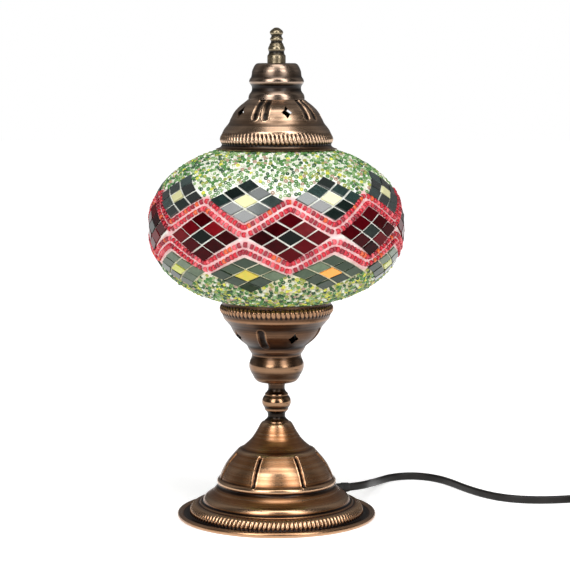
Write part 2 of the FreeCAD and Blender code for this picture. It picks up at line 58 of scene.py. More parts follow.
# ---- driving dimensions ----
GLOBE_Z = 207.0                     # height of the globe's widest place
GLOBE_R = 89.5                      # to the face of the mosaic
GLOBE_UP = (58.6, 2.2)              # height and fullness of the upper half
GLOBE_DOWN = (56.5, 2.3)
REPEATS = 9
PITCH = 360.0 / REPEATS
RED_ANGLE = 6.0
GREEN_ANGLE = RED_ANGLE + PITCH / 2
DRIFT = (0.3, 2.8, 4.0, 2.0, 0.0, -1.0, 0.5, 3.0, 0.0)     # how high each red diamond was laid by hand
UPPER_DIAMOND = (GREEN_ANGLE, 228.6, 18.0, 14.3)    # angle, height, half angle, half height
LOWER_DIAMOND = (GREEN_ANGLE, 180.6, 19.2, 12.4)
UPPER_BAND = (226.3, 209.9)         # height at the red and at the green diamonds
LOWER_BAND = (185.4, 198.5)
BAND_ROWS = 2.45                    # each row's distance from the band's middle
SEED_SIZE = (2.3, 3.1)              # smallest and largest seed bead
SEED_TRIES = 80000

BASE_TOP = node_span("base_shell", 2)[1]
CUP_FLOOR = node_span("socket_cup", 2)[0]
GALLERY_FLOOR = node_span("gallery_bowl", 2)[0]
GALLERY_RIM = node_span("gallery_bowl", 2)[1]
BELL_RIM = 261.1
BELL_TOP = node_span("cap_bell", 2)[1]
CROWN_TOP = node_span("crown_cup", 2)[1]
ROD_HOLE_R = 5.1
STUD_HOLE_R = 2.6
WALL = 1.0

CORD_WIDTH = 5.8
CORD_THICK = 3.6
CORD_Z = CORD_WIDTH / 2
COIL_CENTRE = (257.0, 14.0)
COIL_RADII = (22.8, 36.0)           # inner and outer turn, at the cord's middle
LEAD_Z = 7.0                        # height of the cord in the switch and in the plug


def clamp(value):
    """The value, kept between 0 and 1."""
    return min(1.0, max(0.0, value))


def compass(degrees):
    """Outward and sideways directions at an angle from +x."""
    a = math.radians(degrees)
    return Vector((math.cos(a), math.sin(a), 0)), Vector((-math.sin(a), math.cos(a), 0))


def in_scene(name, data):
    """New object that shows the data."""
    obj = bpy.data.objects.new(name, data)
    bpy.context.scene.collection.objects.link(obj)
    return obj


# ---- materials ----
def shader(name, **constants):
    """New material; constants are values on its Principled shader's own sockets."""
    mat = bpy.data.materials.new(name)
    mat.use_nodes = True
    tree = mat.node_tree
    bsdf = next(n for n in tree.nodes if n.type == "BSDF_PRINCIPLED")
    for key, value in constants.items():
        bsdf.inputs[key.replace("_", " ")].default_value = value
    return mat, tree, bsdf


def add(tree, kind, inputs=(), **settings):
    """New node with its settings and inputs; an input is a value or another node's output."""
    node = tree.nodes.new("ShaderNode" + kind)
    for key, value in settings.items():
        setattr(node, key, value)
    for key, value in dict(inputs).items():
        if isinstance(value, bpy.types.NodeSocket):
            tree.links.new(value, node.inputs[key])
        else:
            node.inputs[key].default_value = value
    return node


def ramp(tree, factor, *stops):
    """Colour ramp with (position, colour) stops."""
    node = add(tree, "ValToRGB", {"Fac": factor})
    elements = node.color_ramp.elements
    while len(elements) < len(stops):
        elements.new(0.5)
    for element, (position, colour) in zip(elements, stops):
        element.position = position
        element.color = (*colour, 1)
    return node.outputs["Color"]


def noise_of(tree, vector, scale, detail=3.0, rough=0.5):
    node = add(tree, "TexNoise", {"Vector": vector, "Scale": scale, "Detail": detail, "Roughness": rough})
    return node.outputs["Fac"]


def maths(tree, operation, a, b, c=0.5, clip=False):
    return add(tree, "Math", {0: a, 1: b, 2: c}, operation=operation, use_clamp=clip).outputs[0]


def spread(tree, value, low, high, start=0.0, end=1.0):
    """The value, which runs from start to end, made to run from low to high."""
    return add(tree, "MapRange", {"Value": value, "From Min": start, "From Max": end,
                                  "To Min": low, "To Max": high}).outputs["Result"]


def bump(tree, bsdf, height, depth_mm, strength=1.0):
    node = add(tree, "Bump", {"Height": height, "Distance": depth_mm * MM, "Strength": strength})
    wire(tree, bsdf, Normal=node.outputs["Normal"])


def wire(tree, bsdf, **outputs):
    """Links outputs to the sockets of the Principled shader."""
    for key, output in outputs.items():
        tree.links.new(output, bsdf.inputs[key.replace("_", " ")])


def here(tree):
    """Place on the piece, in metres."""
    return add(tree, "TexCoord").outputs["Object"]


def turned_metal(name, bright, base, dark, roughness):
    """Spun antique metal: fine turned rings, dark patina in the recesses, painted shade on faces that look
    down and on the foot's outer rim, rubbed edges.
    """
    mat, tree, bsdf = shader(name, Metallic=1.0, Anisotropic=0.6, Coat_Weight=0.2, Coat_Roughness=0.22)
    place = here(tree)
    parts = add(tree, "SeparateXYZ", {0: place})
    flat = add(tree, "CombineXYZ", {"X": parts.outputs["X"], "Y": parts.outputs["Y"]})
    radius = add(tree, "VectorMath", {0: flat.outputs[0]}, operation="LENGTH").outputs["Value"]
    rings = add(tree, "CombineXYZ", {"X": radius, "Z": parts.outputs["Z"]}).outputs[0]
    fine = noise_of(tree, rings, 2600.0, 3.0, 0.7)
    broad = noise_of(tree, rings, 420.0, 2.0, 0.6)
    blotch = noise_of(tree, place, 60.0, 4.0, 0.6)
    # this attribute holds patina in the recesses and painted shade on faces that look down and on the foot's
    # outer rim
    patina = add(tree, "Attribute", attribute_name="patina").outputs["Fac"]
    lines, spots = spread(tree, broad, -0.375, 0.375), spread(tree, blotch, -0.15, 0.15)
    shade = maths(tree, "ADD", maths(tree, "ADD", patina, lines), spots, clip=True)
    worn = spread(tree, shade, 0.0, 0.22)
    wire(tree, bsdf, Base_Color=ramp(tree, shade, (0.12, bright), (0.5, base), (0.92, dark)),
         Roughness=maths(tree, "ADD", worn, spread(tree, fine, roughness - 0.17, roughness - 0.05)),
         Tangent=add(tree, "Tangent", direction_type="RADIAL", axis="Z").outputs[0])
    bump(tree, bsdf, fine, 0.02, 0.5)
    return mat


def plain_metal(name, colour, roughness):
    """Bare or plated metal with fine scratches and a little tarnish."""
    mat, tree, bsdf = shader(name, Metallic=1.0)
    place = here(tree)
    tarnish = noise_of(tree, place, 140.0, 4.0, 0.65)
    grain = noise_of(tree, place, 900.0, 2.0)
    dull = tuple(c * 0.62 for c in colour)
    wire(tree, bsdf, Base_Color=ramp(tree, tarnish, (0.3, dull), (0.6, colour)),
         Roughness=spread(tree, grain, roughness - 0.07, roughness + 0.1))
    bump(tree, bsdf, grain, 0.01, 0.4)
    return mat


def moulded(name, low, high, roughness, scale=1500.0, depth=0.02, **constants):
    """Plastic, rubber, ceramic or glass with a fine grain and two close shades."""
    mat, tree, bsdf = shader(name, **constants)
    place = here(tree)
    tint = noise_of(tree, place, 90.0, 3.0)
    grain = noise_of(tree, place, scale, 2.0)
    wire(tree, bsdf, Base_Color=ramp(tree, tint, (0.35, low), (0.65, high)),
         Roughness=spread(tree, grain, roughness - 0.05, roughness + 0.08))
    bump(tree, bsdf, grain, depth, 0.5)
    return mat


def tile_glass(name, deep, lit, streak, polish):
    """Cut tile of coloured glass: each tile has its own shade, with faint streaks in the glass."""
    mat, tree, bsdf = shader(name, IOR=1.46, Coat_Weight=polish, Coat_Roughness=0.10,
                             Specular_IOR_Level=0.08 + 0.42 * polish)
    place = here(tree)
    shade = add(tree, "Attribute", attribute_name="shade").outputs["Fac"]
    swirl = noise_of(tree, place, 260.0, 3.0, 0.6)
    mixed = maths(tree, "MULTIPLY_ADD", shade, 0.75, maths(tree, "MULTIPLY", swirl, 0.35))
    wire(tree, bsdf, Base_Color=ramp(tree, mixed, (0.15, deep), (0.7, lit), (0.95, streak)),
         Roughness=spread(tree, swirl, 0.10, 0.22))
    bump(tree, bsdf, noise_of(tree, place, 120.0, 1.0), 0.04, 0.3)
    return mat


def bead_glass(name, *colour):
    """Glass bead; its rounded shape is in the mesh."""
    return shader(name, Base_Color=(*colour, 1), Roughness=0.16, IOR=1.52, Coat_Weight=0.25,
                  Coat_Roughness=0.05, Specular_IOR_Level=0.35)[0]


def grout_material():
    """Plaster grout: white, a little pink beside the red beads, darker and yellower towards the bottom."""
    mat, tree, bsdf = shader("grout_white", Specular_IOR_Level=0.3)
    place = here(tree)
    blush = add(tree, "Attribute", attribute_name="blush").outputs["Fac"]
    cream = add(tree, "Attribute", attribute_name="cream").outputs["Fac"]
    grain = noise_of(tree, place, 900.0, 5.0, 0.7)
    dirt = noise_of(tree, place, 160.0, 4.0, 0.6)
    white = ramp(tree, dirt, (0.25, (0.62, 0.62, 0.54)), (0.6, (0.87, 0.88, 0.81)))
    lower = ramp(tree, dirt, (0.25, (0.38, 0.35, 0.21)), (0.65, (0.69, 0.65, 0.45)))
    pink = ramp(tree, dirt, (0.25, (0.60, 0.29, 0.30)), (0.7, (0.84, 0.58, 0.57)))
    body = add(tree, "MixRGB", {"Fac": cream, "Color1": white, "Color2": lower})
    face = add(tree, "MixRGB", {"Fac": blush, "Color1": body.outputs[0], "Color2": pink})
    wire(tree, bsdf, Base_Color=face.outputs[0], Roughness=spread(tree, grain, 0.6, 0.9))
    bump(tree, bsdf, grain, 0.12, 0.6)
    return mat


def felt_material():
    mat, tree, bsdf = shader("felt", Sheen_Weight=0.5)
    fibre = noise_of(tree, here(tree), 2200.0, 5.0, 0.8)
    wire(tree, bsdf, Base_Color=ramp(tree, fibre, (0.3, (0.008, 0.03, 0.015)), (0.7, (0.03, 0.09, 0.05))),
         Roughness=spread(tree, fibre, 0.85, 1.0))
    bump(tree, bsdf, fibre, 0.3, 0.8)
    return mat


def clear_material():
    """Thin blown glass with faint waves."""
    mat, tree, bsdf = shader("clear_glass", Base_Color=(0.98, 0.99, 1.0, 1), IOR=1.46,
                             Transmission_Weight=1.0)
    wave = noise_of(tree, here(tree), 80.0, 2.0)
    wire(tree, bsdf, Roughness=spread(tree, wave, 0.0, 0.03))
    bump(tree, bsdf, wave, 0.1, 0.2)
    return mat


# turned metal: rubbed edge, even stretch and dark recess, the dark also painted shade underneath and on the
# foot's outer rim
COPPER = turned_metal("antique_copper", (0.50, 0.310, 0.185), (0.265, 0.115, 0.044),
                      (0.010, 0.004, 0.002), 0.29)
GALLERY_COPPER = turned_metal("gallery_copper", (0.30, 0.165, 0.088), (0.105, 0.052, 0.026),
                              (0.012, 0.006, 0.004), 0.28)
CAP_COPPER = turned_metal("cap_copper", (0.52, 0.350, 0.235), (0.205, 0.128, 0.080),
                          (0.014, 0.010, 0.008), 0.29)
BRONZE = turned_metal("dark_bronze", (0.30, 0.215, 0.160), (0.120, 0.082, 0.058),
                      (0.012, 0.009, 0.008), 0.30)
OLD_BRASS = turned_metal("finial_bronze", (0.24, 0.195, 0.125), (0.135, 0.105, 0.064),
                         (0.020, 0.017, 0.012), 0.38)
STEM_BRONZE = turned_metal("stem_bronze", (0.28, 0.160, 0.088), (0.090, 0.045, 0.022),
                           (0.008, 0.005, 0.003), 0.27)
STEEL = plain_metal("zinc_steel", (0.60, 0.60, 0.57), 0.34)
BRASS = plain_metal("spring_brass", (0.72, 0.54, 0.26), 0.28)
NICKEL = plain_metal("plug_nickel", (0.74, 0.71, 0.64), 0.22)
ALUMINIUM = plain_metal("bulb_metal", (0.80, 0.80, 0.78), 0.26)
TUNGSTEN = plain_metal("tungsten", (0.36, 0.36, 0.37), 0.4)
IRON = moulded("cast_iron", (0.020, 0.020, 0.021), (0.05, 0.05, 0.05), 0.6, 500.0, 0.25, Metallic=0.6)
PORCELAIN = moulded("porcelain", (0.72, 0.70, 0.63), (0.82, 0.80, 0.75), 0.2, 400.0, 0.02, Coat_Weight=0.6)
PLASTIC = moulded("black_plastic", (0.010, 0.010, 0.010), (0.018, 0.018, 0.018), 0.42, 2600.0, 0.04)
GLOSS_PLASTIC = moulded("rocker_plastic", (0.009, 0.009, 0.009), (0.015, 0.015, 0.015), 0.22, 2600.0, 0.01)
RUBBER = moulded("black_rubber", (0.008, 0.008, 0.008), (0.016, 0.015, 0.014), 0.62, 1800.0, 0.04)
SHEATH = moulded("cord_black", (0.006, 0.005, 0.004), (0.011, 0.009, 0.008), 0.42, 1200.0, 0.02,
                 Specular_IOR_Level=0.3)
OPAL = moulded("opal_glass", (0.86, 0.86, 0.82), (0.92, 0.92, 0.89), 0.14, 300.0, 0.03, Subsurface_Weight=0.3,
               Subsurface_Scale=0.003)
CLEAR = clear_material()
FELT = felt_material()
GROUT_WHITE = grout_material()
# tile glass: deep shade, lit shade, streak and polish
RED_TILE = tile_glass("glass_red", (0.010, 0.0004, 0.0008), (0.075, 0.0012, 0.0035),
                      (0.15, 0.005, 0.008), 0.0)
DARK_TILE = tile_glass("glass_dark", (0.0015, 0.0020, 0.0018), (0.0040, 0.0065, 0.0050),
                       (0.02, 0.03, 0.025), 0.05)
GREEN_TILE = tile_glass("glass_dark_green", (0.0010, 0.0022, 0.0018), (0.0040, 0.0100, 0.0080),
                        (0.02, 0.045, 0.04), 1.0)
GREY_TILE = tile_glass("glass_grey_green", (0.012, 0.022, 0.014), (0.046, 0.072, 0.040),
                       (0.11, 0.15, 0.09), 0.3)
CREAM_TILE = tile_glass("glass_cream", (0.55, 0.53, 0.27), (0.72, 0.70, 0.40), (0.80, 0.78, 0.50), 0.15)
AMBER_TILE = tile_glass("glass_amber", (0.85, 0.33, 0.06), (0.40, 0.42, 0.05), (0.55, 0.57, 0.13), 0.35)


# ---- camera, light and floor ----
def camera():
    data = bpy.data.cameras.new("camera")
    data.lens = 119.0
    data.shift_x = 0.0149
    obj = in_scene("camera", data)
    obj.location = (0, -1.32, 0.31)
    obj.rotation_euler = (math.radians(90 - 6.264), 0, 0)
    bpy.context.scene.camera = obj


def soft_box(name, azimuth, elevation, distance, width, height, watts):
    """Area light at an angle from the front, positive to the right, that faces the globe."""
    data = bpy.data.lights.new(name, "AREA")
    data.shape = "RECTANGLE"
    data.size = width
    data.size_y = height
    data.energy = watts
    obj = in_scene(name, data)
    a, e = math.radians(azimuth - 90), math.radians(elevation)
    aim = Vector((0, 0, 0.17))
    way = Vector((math.cos(e) * math.cos(a), math.cos(e) * math.sin(a), math.sin(e)))
    obj.location = aim + distance * way
    obj.rotation_euler = (obj.location - aim).to_track_quat("Z", "Y").to_euler()


def surroundings():
    """Dark on the front side, brighter to the sides and behind, and plain white as a backdrop."""
    world = bpy.data.worlds.new("studio")
    bpy.context.scene.world = world
    world.use_nodes = True
    tree = world.node_tree
    sky = next(n for n in tree.nodes if n.type == "BACKGROUND")
    way = add(tree, "TexCoord").outputs["Generated"]
    parts = add(tree, "SeparateXYZ", {0: way})
    behind = maths(tree, "MULTIPLY_ADD", parts.outputs["Y"], 0.5)     # 0 in front and 1 behind
    seen = add(tree, "LightPath").outputs["Is Camera Ray"]
    levels = ((0.34, 0.015), (0.52, 0.10), (0.66, 0.34), (0.95, 0.14))
    glow = ramp(tree, behind, *((place, (level,) * 3) for place, level in levels))
    face = add(tree, "MixRGB", {"Fac": seen, "Color1": glow, "Color2": (1.0, 1.0, 1.0, 1)})
    wire(tree, sky, Color=face.outputs[0])
    sky.inputs["Strength"].default_value = 1.0


def floor():
    """Pale floor that glows, less near the lamp and far in front of it."""
    half = 8.0
    corners = [(-half, -half, 0), (half, -half, 0), (half, half, 0), (-half, half, 0)]
    mesh = bpy.data.meshes.new("floor")
    mesh.from_pydata(corners, [], [(0, 1, 2, 3)])
    mat, tree, bsdf = shader("floor_paint", Roughness=0.75, Emission_Color=(1, 1, 1, 1))
    cloud = noise_of(tree, here(tree), 3.0)
    away = add(tree, "VectorMath", {0: here(tree)}, operation="LENGTH").outputs["Value"]
    depth = add(tree, "SeparateXYZ", {0: here(tree)}).outputs["Y"]
    glow = maths(tree, "MULTIPLY", spread(tree, away, 0.5, 0.95, 0.15, 1.2),
                 spread(tree, depth, 0.3, 1.0, -0.6, -0.2))
    wire(tree, bsdf, Base_Color=ramp(tree, cloud, (0.3, (0.88, 0.88, 0.88)), (0.7, (0.90, 0.90, 0.90))),
         Emission_Strength=glow)
    mesh.materials.append(mat)
    in_scene("floor", mesh)


def studio():
    surroundings()
    soft_box("soft_box_left", -29, 27, 1.7, 0.75, 1.6, 22)
    soft_box("soft_box_right", 36, 30, 1.7, 0.55, 1.9, 20)
    soft_box("top_box", 8, 70, 1.9, 1.2, 1.0, 13)
    floor()
    bpy.context.scene.view_settings.view_transform = "Standard"


# ---- helpers for pieces ----
def place_piece(name, mesh, materials, body, sharp, replaced=()):
    """Object that rides on a body; edges sharper than the angle stay crisp."""
    obj = in_scene(name, mesh)
    for mat in materials:
        mesh.materials.append(mat)
    soften(mesh, sharp)
    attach(obj, body)
    if replaced:
        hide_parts(*replaced)
    return obj


def opened(mesh):
    """The mesh as a bmesh; closed() writes it back."""
    work = bmesh.new()
    work.from_mesh(mesh)
    return work


def closed(work, mesh):
    """Writes the bmesh to the mesh."""
    work.to_mesh(mesh)
    work.free()
    return mesh


def soften(mesh, sharp):
    """Smooth shading with crisp edges where faces meet at more than the angle."""
    work = opened(mesh)
    limit = math.radians(sharp)
    for face in work.faces:
        face.smooth = True
    for edge in work.edges:
        edge.smooth = not (len(edge.link_faces) == 2 and edge.calc_face_angle() > limit)
    closed(work, mesh)


def mesh_of(name, points, faces, **values):
    """Mesh from points in mm; values are float attributes of its points."""
    mesh = bpy.data.meshes.new(name)
    mesh.from_pydata([(x * MM, y * MM, z * MM) for x, y, z in points], [], faces)
    for key, numbers in values.items():
        mesh.attributes.new(key, "FLOAT", "POINT").data.foreach_set("value", numbers)
    return mesh


def arc(centre_r, centre_z, radius, start, end, steps):
    """Points of an arc in the (radius, height) plane, angles in degrees from +r."""
    points = []
    for i in range(steps + 1):
        a = math.radians(start + (end - start) * i / steps)
        points.append((centre_r + radius * math.cos(a), centre_z + radius * math.sin(a)))
    return points


def rounded(line, rounding, passes=3):
    """The line with its corners cut, each by at most the rounding."""
    for _ in range(passes):
        cut_line = [line[0]]
        for (r0, z0), (r1, z1) in zip(line[:-1], line[1:]):
            share = min(0.25, rounding / max(math.hypot(r1 - r0, z1 - z0), 1e-6))
            cut_line.append((r0 + (r1 - r0) * share, z0 + (z1 - z0) * share))
            cut_line.append((r1 - (r1 - r0) * share, z1 - (z1 - z0) * share))
        line = cut_line + [line[-1]]
        rounding *= 0.5
    return line


def respaced(line, step):
    """Points along the line no further apart than the step and no closer than a quarter of it."""
    points = [line[0]]
    for r, z in line[1:]:
        r0, z0 = points[-1]
        length = math.hypot(r - r0, z - z0)
        if length < step / 4 and (r, z) != line[-1]:
            continue
        count = max(1, math.ceil(length / step))
        points += [(r0 + (r - r0) * i / count, z0 + (z - z0) * i / count) for i in range(1, count + 1)]
    return points


def normals_of(line):
    """Outward unit normal at each point of a line that runs down the outside."""
    found = []
    for i in range(len(line)):
        (r0, z0), (r1, z1) = line[max(i - 1, 0)], line[min(i + 1, len(line) - 1)]
        length = math.hypot(r1 - r0, z1 - z0) or 1.0
        found.append(((z0 - z1) / length, (r1 - r0) / length))
    return found


def recesses(line, normals):
    """Patina and painted shade of each point: 0.42 on even stretches, more in a recess (patina) or underneath
    (painted shade), less on an edge.
    """
    reach, full = 1.6, 0.30         # how far around a point counts, and how deep a full recess is
    values = []
    for (r, z), (nr, nz) in zip(line, normals):
        weight = level = 0.0
        for r1, z1 in line:
            d2 = (r1 - r) ** 2 + (z1 - z) ** 2
            if d2 < 9 * reach * reach:
                w = math.exp(-d2 / (2 * reach * reach))
                weight += w
                level += w * ((r1 - r) * nr + (z1 - z) * nz)
        # patina in recesses; painted shade: faces that look down are made darker
        values.append(clamp(0.42 + 0.42 * max(-nz, 0.0) + 0.5 * level / weight / full))
    return values


def join_rings(a, b):
    """Faces between two rings of points that start at the same angle and may differ in number."""
    if len(a) == len(b):
        n = len(a)
        return [(a[i], b[i], b[(i + 1) % n], a[(i + 1) % n]) for i in range(n)]
    faces, i, j = [], 0, 0
    while i < len(a) or j < len(b):
        if j >= len(b) or (i < len(a) and (i + 1) * len(b) <= (j + 1) * len(a)):
            faces.append((a[i % len(a)], b[j % len(b)], a[(i + 1) % len(a)]))
            i += 1
        else:
            faces.append((a[i % len(a)], b[j % len(b)], b[(j + 1) % len(b)]))
            j += 1
    return faces


def prism(points, faces, low, high):
    """Adds a closed prism between two outlines with equally many points."""
    first, n = len(points), len(low)
    points += low + high
    faces.append(tuple(range(first, first + n))[::-1])
    faces.append(tuple(range(first + n, first + 2 * n)))
    faces += [(first + i, first + (i + 1) % n, first + n + (i + 1) % n, first + n + i) for i in range(n)]


def spun_mesh(name, line, relief=None, dense=(), segments=240, step=0.9, rounding=0.5, solid=False):
    """Closed mesh turned from an outside line, with a wall or solid to the axis.

    relief(angle, r, z) gives how far the surface stands out and the patina and painted shade that it adds;
    dense holds (low z, high z, segments) for the stretches that the relief needs finer.
    """
    outer = respaced(rounded(line, rounding), step)
    normals = normals_of(outer)
    patina = recesses(outer, normals)
    points, faces, values, rings = [], [], [], []

    def ring(r, z, count, value, normal=None):
        first = len(points)
        for k in range(count):
            turn = 2 * math.pi * k / count
            out, extra = relief(math.degrees(turn) + 90, r, z) if relief and normal else (0.0, 0.0)
            reach, height = (r + normal[0] * out, z + normal[1] * out) if normal else (r, z)
            points.append((reach * math.cos(turn), reach * math.sin(turn), height))
            values.append(clamp(value + extra))
        rings.append(list(range(first, len(points))))

    for (r, z), normal, value in zip(outer, normals, patina):
        count = next((n for low, high, n in dense if low <= z <= high), segments)
        ring(r, z, count, value, normal)
    if solid:
        caps = [rings[0][::-1], rings[-1]]
    else:
        inner = respaced(rounded(line, rounding, 2), 3.0)
        inner_normals = normals_of(inner)
        for (r, z), (nr, nz) in list(zip(inner, inner_normals))[::-1]:
            # the inside of the wall is drawn dark
            ring(max(r - nr * WALL, 0.5), z - nz * WALL, 120, 0.95)
        caps = []
        rings.append(rings[0])
    for a, b in zip(rings[:-1], rings[1:]):
        faces += join_rings(a, b)
    return mesh_of(name, points, faces + [tuple(c[::-1]) for c in caps], patina=values)


def turn_from(angle, centre):
    """Signed angle from the centre, between -180 and 180."""
    return (angle - centre + 180.0) % 360.0 - 180.0


def flute(angle, r, z, centres, half_width, z_low, z_high, depth, slope):
    """A groove with round ends that runs up the surface; slope turns height into length along it."""
    along = max(z_low - z, z - z_high, 0.0) * slope
    for centre in centres:
        across = math.radians(turn_from(angle, centre)) * r
        share = math.hypot(across, along) / half_width
        if share < 1.0:
            return -depth * (1 - share ** 4), 0.62 * (1 - share ** 2)
        if share < 1.5:
            rise = math.sin(math.pi * (share - 1.0) / 0.5)
            return 0.16 * rise, -0.35 * rise
    return 0.0, 0.0


def ridges(angle, z, count, z_low, z_high, height, slant):
    """A knurl of rounded ridges with dark gaps; slant is how many ridges it leans over its height."""
    along = (z - z_low) / (z_high - z_low)
    if not 0.0 < along < 1.0:
        return 0.0, 0.0
    fade = min(1.0, 5.0 * min(along, 1 - along))
    phase = (angle / 360.0 * count + slant * along) % 1.0
    crest = math.cos(math.pi * (phase - 0.5)) ** 0.8 if 0 < phase < 1 else 0.0
    return height * (crest - 0.6) * fade, (0.75 - 1.15 * crest) * fade


def pierce(obj, z, radius, half_w, half_h, count, first_angle):
    """Cuts four-point diamonds with hollow sides through a shell."""
    waist = 0.42
    quarter = ((1, 0), (waist, waist), (0, 1), (-waist, waist))
    outline = [(sign * u * half_w, sign * v * half_h) for sign in (1, -1) for u, v in quarter]
    points, faces = [], []
    for k in range(count):
        out, side = compass(first_angle + 360.0 * k / count - 90)
        prism(points, faces, *([out * reach + side * u + UP * (z + v) for u, v in outline]
                               for reach in (radius - 9, radius + 9)))
    cutter = in_scene("cutter", mesh_of("cutter", points, faces))
    change = obj.modifiers.new("pierce", "BOOLEAN")
    change.operation = "DIFFERENCE"
    change.solver = "EXACT"
    change.object = cutter
    shape = obj.evaluated_get(bpy.context.evaluated_depsgraph_get())
    mesh = bpy.data.meshes.new_from_object(shape)
    obj.modifiers.clear()
    obj.data = mesh
    bpy.data.objects.remove(cutter)


def bevelled(node, width, mat):
    """Stands for a CAD node: the same shape with its sharp edges rounded, as moulded."""
    work = opened(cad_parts[node].data)
    bmesh.ops.remove_doubles(work, verts=work.verts, dist=1e-6)
    bmesh.ops.dissolve_limit(work, angle_limit=math.radians(1.0), verts=work.verts, edges=work.edges)
    sharp = [e for e in work.edges if len(e.link_faces) == 2 and e.calc_face_angle() > math.radians(30.0)]
    bmesh.ops.bevel(work, geom=sharp, offset=width * MM, segments=2, profile=0.5, affect="EDGES",
                    clamp_overlap=True)
    mesh = closed(work, bpy.data.meshes.new(node + "_piece"))
    return place_piece(node + "_piece", mesh, [mat], "lamp", 50.0, [node])


# ---- cord ----
CORD_ROUTE = [(52.1, 25.4, 14.6), (58, 28.3, 14.6), (62.8, 32.8, 14.4), (66.1, 38.6, 13.8),
              (68.9, 50, 12), (71.5, 64, 9.4), (74.4, 81, 6.2), (79.4, 100, 3.4), (88.5, 113.5, CORD_Z),
              (102.5, 119.5, CORD_Z), (116, 116, CORD_Z), (126.5, 106, CORD_Z), (134, 93, CORD_Z),
              (141.5, 76, CORD_Z), (151.5, 58, CORD_Z), (164, 43.5, CORD_Z), (180, 35.5, CORD_Z),
              (200, 34.5, CORD_Z), (221.5, 39.5, CORD_Z)]
TAIL_ROUTE = [(292.5, 2, 8.0), (292, -10, LEAD_Z), (292, -46, LEAD_Z), (292, -80, LEAD_Z), (291.5, -91, 6.4),
              (285, -104, 6.4), (273, -112, LEAD_Z), (262, -112, LEAD_Z), (254, -112, LEAD_Z)]


def coil_points():
    """Control points of the coil: in along the table, up a layer, and out again on top."""
    per_turn, turns = 16, 7
    inner, outer = COIL_RADII
    start = 112.0
    total = start + turns * 360.0
    count = round(total / 360.0 * per_turn)
    push = 1 / math.cos(math.pi / per_turn)
    points = []
    for i in range(count + 1):
        share = i / count
        angle = math.radians(start - total * share)
        radius = (inner + (outer - inner) * min(1.0, abs(share - 0.5) / 0.485)) * push
        climb = clamp((share - 0.5) / 0.06 + 0.5)
        points.append((COIL_CENTRE[0] + radius * math.cos(angle), COIL_CENTRE[1] + radius * math.sin(angle),
                       CORD_Z + CORD_WIDTH * climb))
    return points


def cord_section():
    """Outline of the flat two-core lead: two round cores side by side with a dip between."""
    data = bpy.data.curves.new("lead_section", "CURVE")
    data.dimensions = "2D"
    spline = data.splines.new("POLY")
    steps = 40
    spline.points.add(steps - 1)
    for i, point in enumerate(spline.points):
        a = 2 * math.pi * i / steps
        x = CORD_THICK / 2 * math.cos(a) * (1 - 0.16 * math.cos(a) ** 8)
        y = CORD_WIDTH / 2 * math.copysign(abs(math.sin(a)) ** 0.72, math.sin(a))
        point.co = (x * MM, y * MM, 0, 1)
    spline.use_cyclic_u = True
    obj = in_scene("lead_section", data)
    obj.hide_render = True
    obj.hide_viewport = True
    return obj


def coil_tie():
    """Strap that holds the coil, closed with a small square lock."""
    inner, outer = COIL_RADII
    out, side = compass(205)
    middle = Vector((*COIL_CENTRE, 0)) + out * (inner + outer) / 2
    half_r = (outer - inner) / 2 + CORD_THICK / 2 + 0.3
    top = CORD_WIDTH * 2 + 0.5
    loop = []
    for sign_r, sign_z, start in ((1, 1, 0), (-1, 1, 90), (-1, -1, 180), (1, -1, 270)):
        corner_z = top if sign_z > 0 else 1.2
        loop += arc(sign_r * half_r - sign_r, corner_z - sign_z, 1.0, start, start + 90, 6)
    points, faces = [], []
    thickness, half_w = 0.45, 1.8
    for r, z in loop:
        away = Vector((r, z - top / 2)).normalized()
        for t, w in ((0, -half_w), (thickness, -half_w), (thickness, half_w), (0, half_w)):
            points.append(middle + out * (r + away.x * t) + side * w + UP * max(z + away.y * t, 0.05))
    n = len(loop)
    for i in range(n):
        j = (i + 1) % n
        faces += [(4 * i + k, 4 * i + (k + 1) % 4, 4 * j + (k + 1) % 4, 4 * j + k) for k in range(4)]
    lock = ((-2.6, -2.4), (2.6, -2.4), (2.6, 2.4), (-2.6, 2.4))
    prism(points, faces, *([middle + out * u + side * v + UP * z for u, v in lock]
                           for z in (top + 0.2, top + 3.0)))
    mesh = mesh_of("coil_tie", points, faces)
    work = opened(mesh)
    bmesh.ops.recalc_face_normals(work, faces=work.faces)
    closed(work, mesh)
    return place_piece("coil_tie", mesh, [PLASTIC], "lamp", 40.0)


def cord(with_pieces):
    data = bpy.data.curves.new("power_cord", "CURVE")
    data.dimensions = "3D"
    data.twist_mode = "Z_UP"
    data.bevel_mode = "OBJECT"
    data.bevel_object = cord_section()
    data.use_fill_caps = True
    data.resolution_u = 6
    route = CORD_ROUTE + coil_points() + TAIL_ROUTE
    spline = data.splines.new("NURBS")
    spline.points.add(len(route) - 1)
    for point, (x, y, z) in zip(spline.points, route):
        point.co = (x * MM, y * MM, z * MM, 1)
    spline.order_u = 3
    spline.use_endpoint_u = True
    data.materials.append(SHEATH)
    obj = in_scene("power_cord", data)
    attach(obj, "lamp")
    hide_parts("cord_tube", "cord_coil", "cord_tail", "cord_end")


# ---- metal ----
BASE_LINE = ([(ROD_HOLE_R, BASE_TOP), (10.0, BASE_TOP), (11.0, 66.8), (12.2, 64.8), (13.7, 61.9),
              (15.4, 59.1), (17.3, 56.2), (20.0, 53.2), (22.5, 51.0), (25.2, 48.8), (27.2, 48.2),
              (29.0, 46.2),
              (31.0, 43.9), (34.0, 40.4), (36.5, 36.9), (38.5, 33.0), (40.0, 29.6), (40.5, 27.8)]
             + arc(40.2, 25.3, 2.3, 60, -60, 4)
             + [(41.6, 22.4), (43.4, 20.6), (45.6, 18.2), (48.2, 16.2), (50.8, 14.6), (52.0, 12.8),
                (52.4, 10.6), (54.4, 10.6), (54.8, 9.6)]
             + arc(56.0, 4.2, 5.4, 84, -8, 5)
             + [(62.2, 2.1), (66.2, 2.1), (67.4, 3.3)]
             + arc(68.6, 1.8, 2.0, 100, -62, 5))

